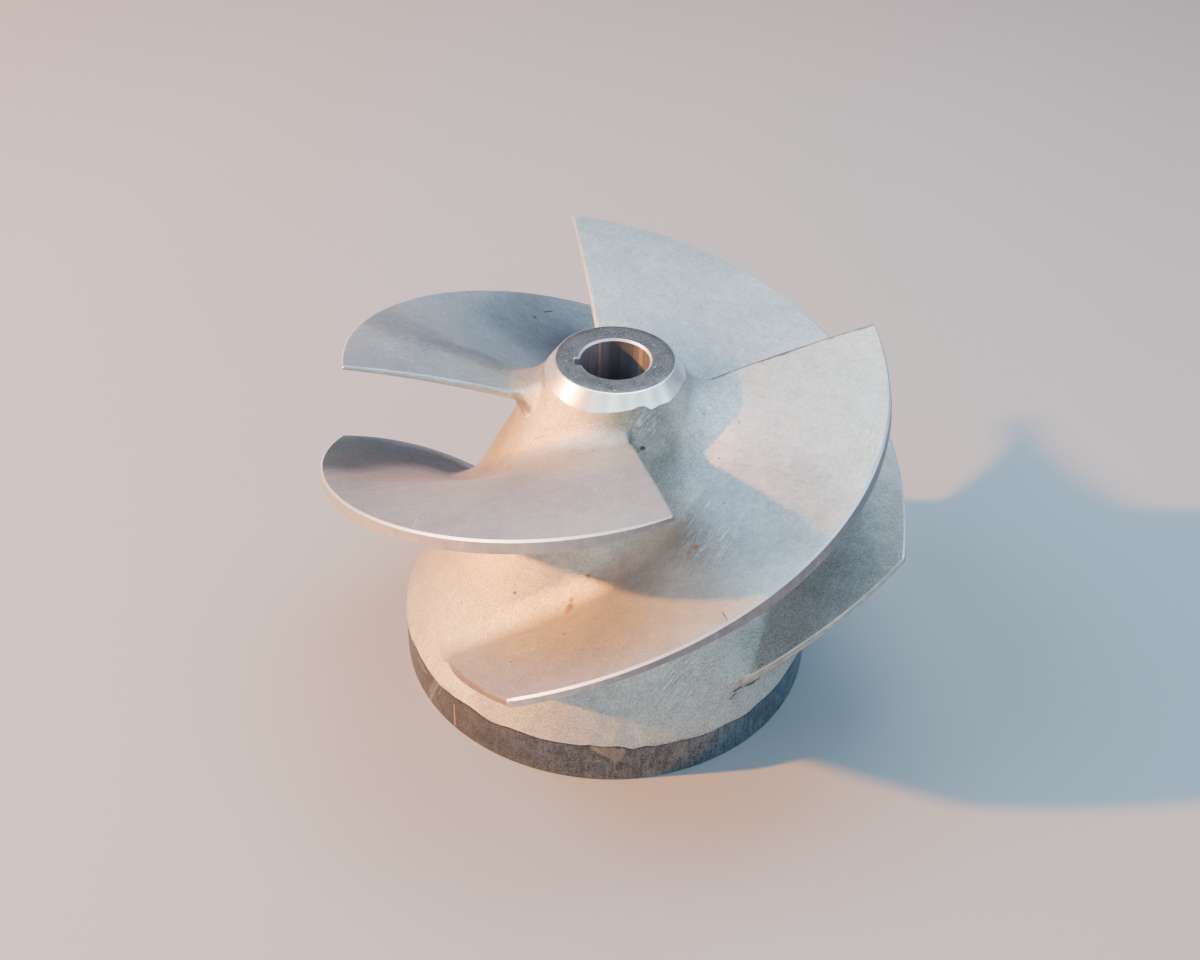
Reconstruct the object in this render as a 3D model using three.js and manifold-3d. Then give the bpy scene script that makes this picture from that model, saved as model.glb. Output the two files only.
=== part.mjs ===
// Mixed-flow impeller of a jet boat: one stainless casting, machined on its nose, bore, blade rims and base band.
// Millimetres, +Z up, standing on the rim of its wide end, the bore along Z.
// Azimuths are in degrees, counter-clockwise seen from above, and blade_1 is the one that starts near +X.
import * as THREE from "three";
import { mergeVertices } from "three/addons/utils/BufferGeometryUtils.js";
import Module from "manifold-3d";

// Base band, turned
const BAND_R = 107;
const BAND_H = 23;
const RIM_INNER_R = 95;

// Hub, cast: radius as a Bezier curve over the height between the band and the nose
const HUB_R = [106.6, 92.5, 67.3, 54.2, 33.7];
const HUB_TOP_Z = 168.7;

// Nose, turned: a flat face with a chamfer
const NOSE_R = 28.6;
const NOSE_Z = 176.1;

// Shaft bore and keyway
const BORE_R = 16.65;
const BORE_CHAMFER = 0.9;
const KEY_WIDTH = 6.4;
const KEY_DEPTH = 2.95;
const KEY_AZ = 9.5;
const BOSS_R = 29;
const BOSS_END_Z = 8;

// Cored back
const WALL = 8.5;
const CORE_TOP_Z = 138;
const CORE_END_R = 4;

// Blades: the upper face from root curve to tip curve, each against azimuth
const BLADES = 4;
const ROOT_AZ = [9.2, -140.7];
const ROOT_Z = [157.7, 157, 152.5, 90, 91.5, 38.4];
const TIP_AZ = [11.4, -106.1];
const TIP_Z = [184.1, 164.4, 138.7, 93.6];
const TIP_R = [126.8, 149.2];
const BOW_LEADING = 7.1;
const BOW_TRAILING = 11.4;
const BOW_AZ = [0.6, 4.1];

// Blade thickness at the leading edge, mid blade and trailing edge
const ROOT_T = [4.4, 9, 5.5];
const TIP_T = [2.2, 6.2, 4.1];
const NOSE_RUN = 0.14;
const THIN_FROM = 0.58;
const THIN_TO = 0.8;

// Root fillet at the leading and trailing edges
const FILLET = [11, 6];

// Facets
const AROUND = 64;
const ALONG = 22;
const HUB_RINGS = 10;

const rad = THREE.MathUtils.degToRad;
const lerp = THREE.MathUtils.lerp;
const step = THREE.MathUtils.smoothstep;

function bezier(points, t) {
  let row = points;
  while (row.length > 1) row = row.slice(1).map((p, i) => lerp(row[i], p, t));
  return row[0];
}

function hubRadius(z) {
  const t = (z - BAND_H) / (HUB_TOP_Z - BAND_H);
  if (t < 0) return BAND_R;
  return bezier(HUB_R, Math.min(t, 1));
}

// Upper face of a blade as radius, height and azimuth: u runs from leading to trailing edge, s from root to tip.
function face(u, s) {
  const rootZ = bezier(ROOT_Z, u);
  const tipZ = bezier(TIP_Z, u);
  const tipR = lerp(TIP_R[0], TIP_R[1], (TIP_Z[0] - tipZ) / (TIP_Z[0] - TIP_Z[3]));
  const bow = s * (1 - s);
  const r = lerp(hubRadius(rootZ), tipR, s);
  const z = lerp(rootZ, tipZ, s) + bow * lerp(BOW_LEADING, BOW_TRAILING, u);
  const root = lerp(ROOT_AZ[0], ROOT_AZ[1], u);
  const tip = lerp(TIP_AZ[0], TIP_AZ[1], u);
  return [r, z, rad(lerp(root, tip, s) + bow * lerp(BOW_AZ[0], BOW_AZ[1], u))];
}

// The meridian, pointing to the wide end, and the blade direction on the stream surface through a face point.
function frameAt(u, s) {
  const rootZ = bezier(ROOT_Z, u);
  const hubSlope = (hubRadius(rootZ - 1) - hubRadius(rootZ + 1)) / 2;
  const tipSlope = (TIP_R[1] - TIP_R[0]) / (TIP_Z[0] - TIP_Z[3]);
  const slope = lerp(hubSlope, tipSlope, THREE.MathUtils.clamp(s, 0, 1));
  const m = Math.hypot(slope, 1);
  const meridian = [slope / m, -1 / m];
  const e = 1e-3;
  const a = face(Math.max(u - e, 0), s);
  const b = face(Math.min(u + e, 1), s);
  const down = (b[0] - a[0]) * meridian[0] + (b[1] - a[1]) * meridian[1];
  const round = ((a[0] + b[0]) / 2) * (b[2] - a[2]);
  const length = Math.hypot(down, round);
  return { meridian, along: [down / length, round / length] };
}

// A face point moved on its stream surface: by a towards the trailing edge and by w to the lower side.
function moved(u, s, a, w) {
  const p = face(u, s);
  const f = frameAt(u, s);
  const [tm, tc] = f.along;
  const dm = a * tm - w * tc;
  const dc = a * tc + w * tm;
  const r = p[0] + dm * f.meridian[0];
  const az = p[2] + dc / p[0];
  return new THREE.Vector3(r * Math.cos(az), r * Math.sin(az), p[1] + dm * f.meridian[1]);
}

function thickness(u, s) {
  const t = [0, 1, 2].map((i) => lerp(ROOT_T[i], TIP_T[i], s));
  return lerp(t[0], t[1], step(u, 0, NOSE_RUN)) + (t[2] - t[1]) * step(u, THIN_FROM, THIN_TO);
}

// One closed section of a blade, grown outwards by the fillet.
function section(s, grow) {
  const loop = [];
  for (let i = 0; i <= ALONG; i++) {
    const u = (i / ALONG) ** 1.15;
    loop.push(moved(u, s, i === ALONG ? grow(1) : 0, -grow(u)));
  }
  for (let i = ALONG; i >= 0; i--) {
    const u = (i / ALONG) ** 1.15;
    loop.push(moved(u, s, i === ALONG ? grow(1) : 0, thickness(u, s) + grow(u)));
  }
  const half = thickness(0, s) / 2;
  for (const turn of [45, 90, 135]) {
    const reach = half + grow(0);
    loop.push(moved(0, s, -reach * Math.sin(rad(turn)), half + reach * Math.cos(rad(turn))));
  }
  return loop;
}

// Blade rows: the share of the fillet radius that each row stands off the hub, then shares of the span.
function bladeGeometry() {
  const span = (u) => {
    const a = face(u, 0);
    const b = face(u, 1);
    return Math.hypot(b[0] - a[0], b[1] - a[1]);
  };
  const rows = [];
  rows.push(section(-0.07, (u) => lerp(FILLET[0], FILLET[1], u) * 0.98));
  for (const k of [0.12, 0.35, 1]) {
    const add = 1 - Math.sqrt(1 - (1 - k) ** 2);
    const s = (k * (FILLET[0] + FILLET[1])) / 2 / span(0.5);
    rows.push(section(s, (u) => lerp(FILLET[0], FILLET[1], u) * add));
  }
  for (const s of [0.3, 0.5, 0.75, 1]) rows.push(section(s, () => 0));
  const n = rows[0].length;
  const at = [];
  for (const row of rows) for (const p of row) at.push(p.x, p.y, p.z);
  const index = [];
  for (let j = 0; j + 1 < rows.length; j++)
    for (let i = 0; i < n; i++) {
      const a = j * n + i;
      const b = j * n + ((i + 1) % n);
      index.push(a, b, b + n, a, b + n, a + n);
    }
  const cap = (base, flip) => {
    const add = (a, b, c) => index.push(base + a, base + (flip ? c : b), base + (flip ? b : c));
    const low = (i) => 2 * ALONG + 1 - i;
    for (let i = 0; i < ALONG; i++) {
      add(i, low(i), i + 1);
      add(i + 1, low(i), low(i + 1));
    }
    const last = 2 * ALONG + 1;
    add(0, last + 3, last + 2);
    add(0, last + 2, last + 1);
    add(0, last + 1, last);
  };
  cap(0, false);
  cap((rows.length - 1) * n, true);
  const g = new THREE.BufferGeometry();
  g.setAttribute("position", new THREE.Float32BufferAttribute(at, 3));
  g.setIndex(index);
  return g;
}

// Turned body of the hub: outside, nose, and back rim, closed down the axis.
function hubGeometry() {
  const p = [new THREE.Vector2(0, 0), new THREE.Vector2(BAND_R, 0), new THREE.Vector2(BAND_R, BAND_H)];
  for (let i = 0; i <= HUB_RINGS; i++) {
    const z = lerp(BAND_H, HUB_TOP_Z, i / HUB_RINGS);
    p.push(new THREE.Vector2(hubRadius(z + 1e-6), i === 0 ? BAND_H + 0.4 : z));
  }
  p.push(new THREE.Vector2(NOSE_R, NOSE_Z), new THREE.Vector2(0, NOSE_Z));
  return lathe(p);
}

// Cored space behind the shell, round the boss.
function coreGeometry() {
  const p = [new THREE.Vector2(0, -1), new THREE.Vector2(RIM_INNER_R, -1), new THREE.Vector2(RIM_INNER_R, BAND_H)];
  const rings = 6;
  for (let i = 1; i <= rings; i++) {
    const z = lerp(BAND_H, CORE_TOP_Z, i / rings);
    p.push(new THREE.Vector2(hubRadius(z) - WALL * 1.12, z));
  }
  const topR = hubRadius(CORE_TOP_Z) - WALL * 1.12;
  p.push(new THREE.Vector2(lerp(BOSS_R, topR, 0.75), CORE_TOP_Z + CORE_END_R * 0.8));
  p.push(new THREE.Vector2(lerp(BOSS_R, topR, 0.3), CORE_TOP_Z + CORE_END_R * 0.8));
  p.push(new THREE.Vector2(BOSS_R, CORE_TOP_Z));
  p.push(new THREE.Vector2(BOSS_R, BOSS_END_Z), new THREE.Vector2(0, BOSS_END_Z));
  return lathe(p);
}

function boreGeometry() {
  return lathe([
    new THREE.Vector2(0, -1),
    new THREE.Vector2(BORE_R, -1),
    new THREE.Vector2(BORE_R, NOSE_Z - BORE_CHAMFER),
    new THREE.Vector2(BORE_R + BORE_CHAMFER, NOSE_Z),
    new THREE.Vector2(BORE_R + BORE_CHAMFER + 1, NOSE_Z + 1),
    new THREE.Vector2(0, NOSE_Z + 1),
  ]);
}

// LatheGeometry turns about Y, so it is stood up along Z.
function lathe(profile) {
  return new THREE.LatheGeometry(profile, AROUND).rotateX(Math.PI / 2);
}

const wasm = await Module();
wasm.setup();

function solid(geometry) {
  const g = geometry.clone();
  g.deleteAttribute("normal");
  g.deleteAttribute("uv");
  const m = mergeVertices(g, 1e-4);
  const triVerts = [];
  const t = m.index.array;
  for (let i = 0; i < t.length; i += 3)
    if (t[i] !== t[i + 1] && t[i + 1] !== t[i + 2] && t[i] !== t[i + 2]) triVerts.push(t[i], t[i + 1], t[i + 2]);
  const made = new wasm.Manifold(
    new wasm.Mesh({
      numProp: 3,
      vertProperties: new Float32Array(m.attributes.position.array),
      triVerts: new Uint32Array(triVerts),
    }),
  );
  if (made.volume() < 0) throw new Error("a body is inside out");
  return made;
}

function geometryOf(s) {
  const m = s.getMesh();
  const at = new Float32Array(m.numVert * 3);
  for (let i = 0; i < m.numVert; i++) at.set(m.vertProperties.subarray(i * m.numProp, i * m.numProp + 3), i * 3);
  const g = new THREE.BufferGeometry();
  g.setAttribute("position", new THREE.BufferAttribute(at, 3));
  g.setIndex(new THREE.BufferAttribute(new Uint32Array(m.triVerts), 1));
  g.computeVertexNormals();
  return g;
}

let casting = solid(hubGeometry());
for (let i = 0; i < BLADES; i++)
  casting = casting.add(solid(bladeGeometry().rotateZ((-i * 2 * Math.PI) / BLADES)));
casting = casting.subtract(solid(coreGeometry()));
casting = casting.subtract(solid(boreGeometry()));
const key = new THREE.BoxGeometry(BORE_R + KEY_DEPTH, KEY_WIDTH, NOSE_Z + 2);
key.translate(-(BORE_R + KEY_DEPTH) / 2, 0, NOSE_Z / 2).rotateZ(rad(KEY_AZ));
casting = casting.subtract(solid(key));

const stainless = new THREE.MeshStandardMaterial({ color: 0xa9aaa8, metalness: 0.9, roughness: 0.45 });
const impeller = new THREE.Group();
const mesh = new THREE.Mesh(geometryOf(casting), stainless);
mesh.name = "impeller_casting";
impeller.add(mesh);

export default impeller;
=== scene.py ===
from math import atan2, cos, degrees, hypot, pi, radians, sin, sqrt

import bmesh
import bpy
import numpy as np
from mathutils import Matrix, Vector, noise


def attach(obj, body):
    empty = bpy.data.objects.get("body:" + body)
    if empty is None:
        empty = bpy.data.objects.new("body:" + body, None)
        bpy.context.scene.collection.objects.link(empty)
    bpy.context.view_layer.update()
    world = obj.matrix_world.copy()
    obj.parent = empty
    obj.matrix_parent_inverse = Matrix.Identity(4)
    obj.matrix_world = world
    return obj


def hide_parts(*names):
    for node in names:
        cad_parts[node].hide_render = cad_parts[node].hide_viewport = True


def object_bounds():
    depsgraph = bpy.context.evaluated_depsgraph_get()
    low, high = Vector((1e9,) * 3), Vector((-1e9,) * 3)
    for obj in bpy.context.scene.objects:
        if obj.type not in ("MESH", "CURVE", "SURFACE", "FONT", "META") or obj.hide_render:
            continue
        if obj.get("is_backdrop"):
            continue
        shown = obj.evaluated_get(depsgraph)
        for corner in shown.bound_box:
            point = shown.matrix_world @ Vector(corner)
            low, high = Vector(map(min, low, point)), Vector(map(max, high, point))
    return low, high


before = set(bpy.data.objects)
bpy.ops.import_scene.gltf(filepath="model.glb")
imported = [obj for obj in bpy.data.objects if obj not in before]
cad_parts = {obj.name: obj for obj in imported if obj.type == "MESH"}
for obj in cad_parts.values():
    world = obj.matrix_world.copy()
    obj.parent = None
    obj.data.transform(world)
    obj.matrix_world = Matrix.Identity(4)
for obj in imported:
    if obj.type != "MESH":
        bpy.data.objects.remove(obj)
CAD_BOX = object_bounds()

MM = 0.001
NODE = "impeller_casting"

# --- Sizes of the casting, in millimetres and degrees, as in the part's source ---
BAND_R = 107
BAND_H = 23
RIM_INNER_R = 95
HUB_R = (106.6, 92.5, 67.3, 54.2, 33.7)
HUB_TOP_Z = 168.7
NOSE_R = 28.6
NOSE_Z = 176.1
BORE_R = 16.65
BORE_CHAMFER = 0.9
KEY_WIDTH = 6.4
KEY_DEPTH = 2.95
KEY_AZ = 189.5
BOSS_R = 29
BOSS_END_Z = 8
WALL = 8.5
CORE_TOP_Z = 138
CORE_END_R = 4

BLADES = 4
ROOT_AZ = (9.2, -140.7)
ROOT_Z = (157.7, 157, 152.5, 90, 91.5, 38.4)
TIP_AZ = (11.4, -106.1)
TIP_Z = (184.1, 164.4, 138.7, 93.6)
TIP_R = (126.8, 149.2)
TIP_SLOPE = (TIP_R[1] - TIP_R[0]) / (TIP_Z[0] - TIP_Z[3])
BOW_LEADING = 7.1
BOW_TRAILING = 11.4
BOW_AZ = (0.6, 4.1)
ROOT_T = (4.4, 9, 5.5)
TIP_T = (2.2, 6.2, 4.1)
TRAILING_CORNER = 1.1
SPAN = (98, 52)  # about how far it is from root to rim, at the leading and at the trailing edge
TIP_CHORD = 310  # about how long the rim is

# Root fillets of the four blades as (reach along the hub, height up the blade). The rows for the two faces
# run from the leading to the trailing edge; the hand-dressed corners differ from blade to blade. The fuller
# a fillet, the flatter its middle and the crisper its borders at the leading corner.
LOWER_FOOT = ((3, 3), (9, 8), (7, 6), (2, 2))
FOOT_END = ((7, 5), (2.5, 2))
FEET = (
    {
        "upper": ((8, 8), (9, 17), (17, 15), (12, 8)), "lower": LOWER_FOOT,
        "nose": (2, 3), "end": FOOT_END, "full": 0.74,
    },
    {
        "upper": ((7, 8), (11, 16), (17, 14), (12, 8)), "lower": LOWER_FOOT,
        "nose": (1.6, 2), "end": FOOT_END, "full": 0.5,
    },
    {
        "upper": ((12, 12), (14, 12), (17, 10), (12, 8)), "lower": ((7, 7), (8, 7), (7, 6), (2, 2)),
        "nose": (8, 13), "end": FOOT_END, "full": 0.66,
    },
    {
        "upper": ((8, 8), (12, 12), (17, 12), (14, 7)), "lower": ((3, 3), (9, 8), (7, 6), (0.8, 0.8)),
        "nose": (3, 5), "end": ((8, 4), (1.5, 1.2)), "full": 0.6,
    },
)

# Where the cast skin ends over the turned faces, as (azimuth, height). The edge wanders, because the casting
# isn't quite true. Past the ends of its table it wanders by itself, about a level and by a spread.
BAND_EDGE = (
    (-160, 23.6), (-153.6, 25.5), (-149.7, 24.5), (-143.2, 22.8), (-140.8, 21.9), (-136, 23.2),
    (-128, 24.8), (-120.5, 22.6), (-114, 24.4), (-105, 23.8), (-95.5, 24.2), (-92.9, 25),
    (-89, 24.2), (-86, 24.8), (-83.8, 23.9), (-82.4, 22), (-78.6, 23.5), (-76, 22.6), (-70, 23),
    (-62, 21.8), (-55.7, 22.6), (-48.6, 21.6), (-44, 23.3), (-36, 23.9), (-27.8, 26.2), (-24, 25.2),
)
NOSE_EDGE = (
    (-150, 168.6), (-126, 167.9), (-112, 167.9), (-100, 168.4), (-87, 169.2), (-77, 169.7),
    (-69, 170.5), (-65, 170.4), (-58.5, 168.4), (-50.6, 168.8), (-41, 168.3), (-29, 169), (-17, 169.5),
)
BAND_WANDER = (23.4, 1.3)
NOSE_WANDER = (168.8, 0.8)
CHAMFER_SLOPE = 0.689
SEAM_STEP = 0.05  # the band stands this far out of the skin


def within(value, low, high):
    return min(max(value, low), high)


def lerp(a, b, t):
    return a + (b - a) * t


def smooth(t, low, high):
    t = within((t - low) / (high - low), 0.0, 1.0)
    return t * t * (3 - 2 * t)


def bezier(points, t):
    row = list(points)
    while len(row) > 1:
        row = [lerp(a, b, t) for a, b in zip(row, row[1:])]
    return row[0]


def edge_height(table, az, level, spread):
    """Height of a wandering edge at an azimuth: from its table, and from a slow noise round the rest."""
    turn = Vector((cos(radians(az)), sin(radians(az)), level * 0.01))
    wild = level + spread * (noise.noise(turn * 2.3) + 0.5 * noise.noise(turn * 7.1))
    low, high = table[0][0], table[-1][0]
    if not low <= az <= high:
        out = min((low - az) % 360, (az - high) % 360)
        near = table[0][1] if (low - az) % 360 < (az - high) % 360 else table[-1][1]
        return lerp(near, wild, smooth(out, 0, 12))
    for (a, za), (b, zb) in zip(table, table[1:]):
        if az <= b:
            return lerp(za, zb, smooth(az, a, b))
    return table[-1][1]


def band_edge(az):
    return edge_height(BAND_EDGE, az, *BAND_WANDER)


def nose_edge(az):
    return edge_height(NOSE_EDGE, az, *NOSE_WANDER)


def hub_radius(z):
    t = (z - BAND_H) / (HUB_TOP_Z - BAND_H)
    return bezier(HUB_R, within(t, -0.15, 1.1))


def hub_slope(z):
    return (hub_radius(z - 1) - hub_radius(z + 1)) / 2


def skin_radius(z, az):
    """The hub's cast skin, pushed in or out so that it meets the turned faces along their edges."""
    border = band_edge(az)
    low = BAND_R - SEAM_STEP - hub_radius(border)
    high = (nose_edge(az) - HUB_TOP_Z) * (CHAMFER_SLOPE - hub_slope(HUB_TOP_Z))
    fade = max(1 - max(z - border, 0) / 40, 0) ** 2
    x, y = cos(radians(az)), sin(radians(az))
    slow = 0.5 * noise.noise(Vector((x * 2.3, y * 2.3, z / 45)))
    wave = 0.25 * noise.noise(Vector((x * 4.1, y * 4.1, z / 22)))
    free = smooth(z, border, border + 25) * (1 - smooth(z, 140, 166))
    return hub_radius(z) + low * fade + high * smooth(z, 140, 168) + (slow + wave) * free


# --- Blade surface ---
def face(u, s):
    """Upper face of a blade as (radius, height, azimuth in radians): u along the chord, s from root to tip."""
    root_z = bezier(ROOT_Z, u)
    tip_z = bezier(TIP_Z, u)
    tip_r = lerp(*TIP_R, (TIP_Z[0] - tip_z) / (TIP_Z[0] - TIP_Z[3]))
    bow = s * (1 - s)
    return (
        lerp(hub_radius(root_z), tip_r, s),
        lerp(root_z, tip_z, s) + bow * lerp(BOW_LEADING, BOW_TRAILING, u),
        radians(lerp(lerp(*ROOT_AZ, u), lerp(*TIP_AZ, u), s) + bow * lerp(*BOW_AZ, u)),
    )


def moved(u, s, a, w):
    """A face point moved on its stream surface, a towards the trailing edge and w to the lower side."""
    slope = lerp(hub_slope(bezier(ROOT_Z, u)), TIP_SLOPE, within(s, 0, 1))
    m = hypot(slope, 1)
    mr, mz = slope / m, -1 / m
    p = face(u, s)
    a0, b0 = face(max(u - 1e-3, 0), s), face(min(u + 1e-3, 1), s)
    down = (b0[0] - a0[0]) * mr + (b0[1] - a0[1]) * mz
    turn = (a0[0] + b0[0]) / 2 * (b0[2] - a0[2])
    run = hypot(down, turn)
    tm, tc = down / run, turn / run
    dm, dc = a * tm - w * tc, a * tc + w * tm
    return p[0] + dm * mr, p[1] + dm * mz, p[2] + dc / p[0]


def thickness(u, s):
    lead, mid, trail = (lerp(a, b, s) for a, b in zip(ROOT_T, TIP_T))
    return lerp(lead, mid, smooth(u, 0, 0.14)) + (trail - mid) * smooth(u, 0.58, 0.8)


def hub_distance(p):
    r, z, az = p
    return (r - skin_radius(z, degrees(az))) / hypot(1, hub_slope(z))


# Stations along each face of a blade, and rows up its fillet and from there to the rim
ALONG = 150
FILLET_ROWS = 12
SPAN_ROWS = 44


def blade_loop():
    """One turn round a blade section as (side, u, angle): upper face, trailing end, lower face, leading nose."""
    stop = 1 - 0.006
    faces = [(i / ALONG) ** 1.1 * stop for i in range(ALONG + 1)]
    corner = [i * 18 for i in range(6)]
    loop = [("upper", u, 0) for u in faces] + [("trail_up", 1, turn) for turn in corner]
    loop += [("trail_flat", 1, i * 0.2) for i in range(1, 5)] + [("trail_low", 1, turn) for turn in corner]
    loop += [("lower", u, 0) for u in reversed(faces)]
    return loop + [("lead", 0, i * 15) for i in range(1, 12)] + [loop[0]]


def offset(side, angle, t, grow):
    """Place of a loop point across the section, as (a, w), for a section grown outwards."""
    c = TRAILING_CORNER
    s, k = sin(radians(angle)), cos(radians(angle))
    if side == "upper":
        return 0, -grow
    if side == "lower":
        return 0, t + grow
    if side == "trail_up":
        return -c + (c + grow) * s, c - (c + grow) * k
    if side == "trail_flat":
        return grow, lerp(c, t - c, angle)
    if side == "trail_low":
        return -c + (c + grow) * k, t - c + (c + grow) * s
    return -(t / 2 + grow) * s, t / 2 + (t / 2 + grow) * k


def fillet(feet, side, u, angle):
    """Reach and height of the root fillet at a loop point: wide on the faces, tight round both edges."""
    upper = [bezier([size[k] for size in feet["upper"]], u) for k in (0, 1)]
    lower = [bezier([size[k] for size in feet["lower"]], u) for k in (0, 1)]
    if side == "upper":
        return upper
    if side == "lower":
        return lower
    if side == "lead":
        near, share = (upper, smooth(angle, 180, 120)) if angle > 110 else (lower, smooth(angle, 60, 110))
        return [lerp(a, b, share) for a, b in zip(near, feet["nose"])]
    ends = feet["end"]
    if side == "trail_flat":
        return [lerp(a, b, angle) for a, b in zip(*ends)]
    if side == "trail_up":
        return [lerp(a, b, smooth(angle, 0, 90)) for a, b in zip(upper, ends[0])]
    return [lerp(b, a, smooth(angle, 0, 90)) for a, b in zip(lower, ends[1])]


def hollow(reach, height, share, fill):
    """Point of the fillet's hollow as (off the blade, off the hub), share running from the hub to the blade.
    It leaves both surfaces tangent; the more fill, the flatter its middle."""
    return bezier((reach, reach * fill, 0, 0), share), bezier((0, 0, height * fill, height), share)


def foot_point(side, u, angle, grow, d):
    """The point of a grown section that stands d off the hub's skin, and its share of the span."""
    s = 0.0
    for _ in range(4):
        a, w = offset(side, angle, thickness(u, s), grow)
        p = moved(u, s, a, w)
        gap = d - hub_distance(p)
        s += gap / lerp(*SPAN, u)
    r = skin_radius(p[1], degrees(p[2])) + d * hypot(1, hub_slope(p[1]))
    return (r, p[1], p[2]), s


def upper_share(side, angle):
    """How far a loop point belongs to the upper face: 1 on it, 0 on the lower one, between them at the edges."""
    if side == "trail_flat":
        return 1 - angle
    if side == "lead":
        return 0.5 - 0.5 * cos(radians(angle))
    return 1 if side in ("upper", "trail_up") else 0


def blade_column(feet, side, u, angle):
    """Points of one loop station from inside the hub, over the fillet and the face, to the middle of the rim."""
    reach, height = fillet(feet, side, u, angle)
    column = [foot_point("upper", within(u, 0.02, 0.98), 0, -thickness(u, 0) / 2, -4)[0]]
    column += [foot_point(side, u, angle, reach + 1, depth)[0] for depth in (-1, -0.04)]
    fill = lerp(feet["full"], 0.5, smooth(u, 0.04, 0.28))
    for i in range(FILLET_ROWS + 1):
        grow, stand = hollow(reach, height, i / FILLET_ROWS, fill)
        p, s = foot_point(side, u, angle, grow, stand - (0.01 if i == 0 else 0))
        column.append(p)
    broken = lerp(0.35, 0.85 if side == "upper" else 0.6, upper_share(side, angle))
    broken *= lerp(0.45, 1, smooth(u, 0, 0.06))  # the rim's corner is broken by this much
    top = 1 - broken / lerp(*SPAN, u)
    for i in range(1, SPAN_ROWS + 1):
        share = lerp(s, top, i / SPAN_ROWS)
        column.append(moved(u, share, *offset(side, angle, thickness(u, share), 0)))
    t = thickness(u, 1)
    column.append(moved(u, 1, *offset(side, angle, t, -broken)))
    middle = min(u, 1 - t / 2 / TIP_CHORD)
    column.append(moved(middle, 1, 0, thickness(middle, 1) / 2))
    return column


# Broad patches of painted shade on the skin, where it lies in shade under and between the blades, as (from, to,
# width, strength), in millimetres; the first ones are the coolest. The mesh points carry them, because the material
# has no room for more marks.
COOL_SHADE_PATCHES = (
    ((-139.2, 3.1, 109.2), (-119.1, 31.3, 92.3), 62, 1), ((-119.1, 31.3, 92.3), (-86.8, 42.2, 74.6), 52, 0.95),
)
SHADE_PATCHES = (
    ((-118.3, 43.3, 166.4), (-91.4, 26.7, 165.3), 30, 0.4), ((-91.4, 26.7, 165.3), (-61.2, 17.8, 159.5), 20, 0.55),
    ((-46.6, 91.2, 131.4), (-32.5, 134.9, 123.9), 60, 0.6), ((118.2, -38.2, 88.6), (134.3, -0.9, 109.6), 70, 0.66),
    ((80.4, -64.5, 57.9), (94.4, -55.7, 70.4), 40, 0.55), ((12.3, -32.4, 167.3), (24, -44, 146), 36, 0.8),
    ((-33, 2, 169.5), (-33.5, -9, 167.5), 7, 0.6), ((6.2, 84.5, 168.8), (-8.9, 66.4, 167.1), 26, 0.2),
    ((41, -55, 135), (75, -75, 146), 70, 0.58),
)
# A line mark ends and is full at these shares of its width
MARK_EDGE, MARK_FULL = 0.6, 0.25


def shade_patch_strength(mesh, name, marks):
    """Strength of the broad patches of painted shade at each point of a mesh, as an attribute for the material."""
    spots = np.empty(len(mesh.vertices) * 3, dtype=np.float32)
    mesh.vertices.foreach_get("co", spots)
    spots = spots.reshape(-1, 3) / MM
    found = np.zeros(len(spots))
    for a, b, width, strength in marks:
        a, run = np.array(a), np.array(b) - np.array(a)
        share = np.clip((spots - a) @ run / (run @ run), 0, 1)
        gap = np.linalg.norm(spots - a - share[:, None] * run, axis=1) / width
        t = np.clip((MARK_EDGE - gap) / (MARK_EDGE - MARK_FULL), 0, 1)
        found = np.maximum(found, strength * t * t * (3 - 2 * t))
    mesh.attributes.new(name, "FLOAT", "POINT").data.foreach_set("value", found.astype(np.float32))


def shaped(name, bm, materials, crease=None):
    bmesh.ops.remove_doubles(bm, verts=bm.verts, dist=1e-7)
    bmesh.ops.recalc_face_normals(bm, faces=bm.faces)
    mesh = bpy.data.meshes.new(name)
    for f in bm.faces:
        f.smooth = True
    bm.to_mesh(mesh)
    bm.free()
    if crease:
        mesh.set_sharp_from_angle(angle=radians(crease))
    for m in materials:
        mesh.materials.append(m)
    shade_patch_strength(mesh, "cool_painted_shade", COOL_SHADE_PATCHES)
    shade_patch_strength(mesh, "painted_shade", SHADE_PATCHES)
    piece = bpy.data.objects.new(name, mesh)
    bpy.context.scene.collection.objects.link(piece)
    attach(piece, "root")
    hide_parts(NODE)
    return piece


def polar(r, z, az):
    return Vector((r * cos(az), r * sin(az), z)) * MM


def make_blade(k, feet, materials):
    """Blade number k: a grid bent round the section from leading nose to leading nose, root to rim."""
    loop = blade_loop()
    columns = [blade_column(feet, *station) for station in loop]
    wide, tall = len(columns) - 1, len(columns[0]) - 1
    middle = [polar(*column[tall // 2]) for column in columns]
    round_it = [0.0]
    for a, b in zip(middle, middle[1:]):
        round_it.append(round_it[-1] + (b - a).length)
    bm = bmesh.new()
    bmesh.ops.create_grid(bm, x_segments=wide, y_segments=tall, size=1)
    place = {}
    for v in bm.verts:
        i, j = round((v.co.x + 1) / 2 * wide), round((v.co.y + 1) / 2 * tall)
        place[v] = (i, j)
        v.co = polar(*columns[i][j])
    plan_height = sum(SPAN) / 2 * MM
    plan = bm.loops.layers.uv.new("blade_plan")
    for f in bm.faces:
        i, j = (min(place[v][k] for v in f.verts) for k in (0, 1))
        for corner in f.loops:
            a, b = place[corner.vert]
            corner[plan].uv = (round_it[a], b / tall * plan_height)
        side = loop[i][0]
        if j >= tall - 1:
            f.material_index = 1
        elif j == tall - 2:
            f.material_index = 2 if side in ("upper", "trail_up") else 1
        elif side.startswith("trail") and j > FILLET_ROWS:
            f.material_index = 3
    for e in bm.edges:
        a, b = (place[v][1] for v in e.verts)
        e.smooth = not (a == b and a >= tall - 2)
    bmesh.ops.rotate(bm, cent=(0, 0, 0), matrix=Matrix.Rotation(-k * 2 * pi / BLADES, 3, "Z"), verts=bm.verts)
    shaped(f"blade_{k + 1}", bm, materials)


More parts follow.
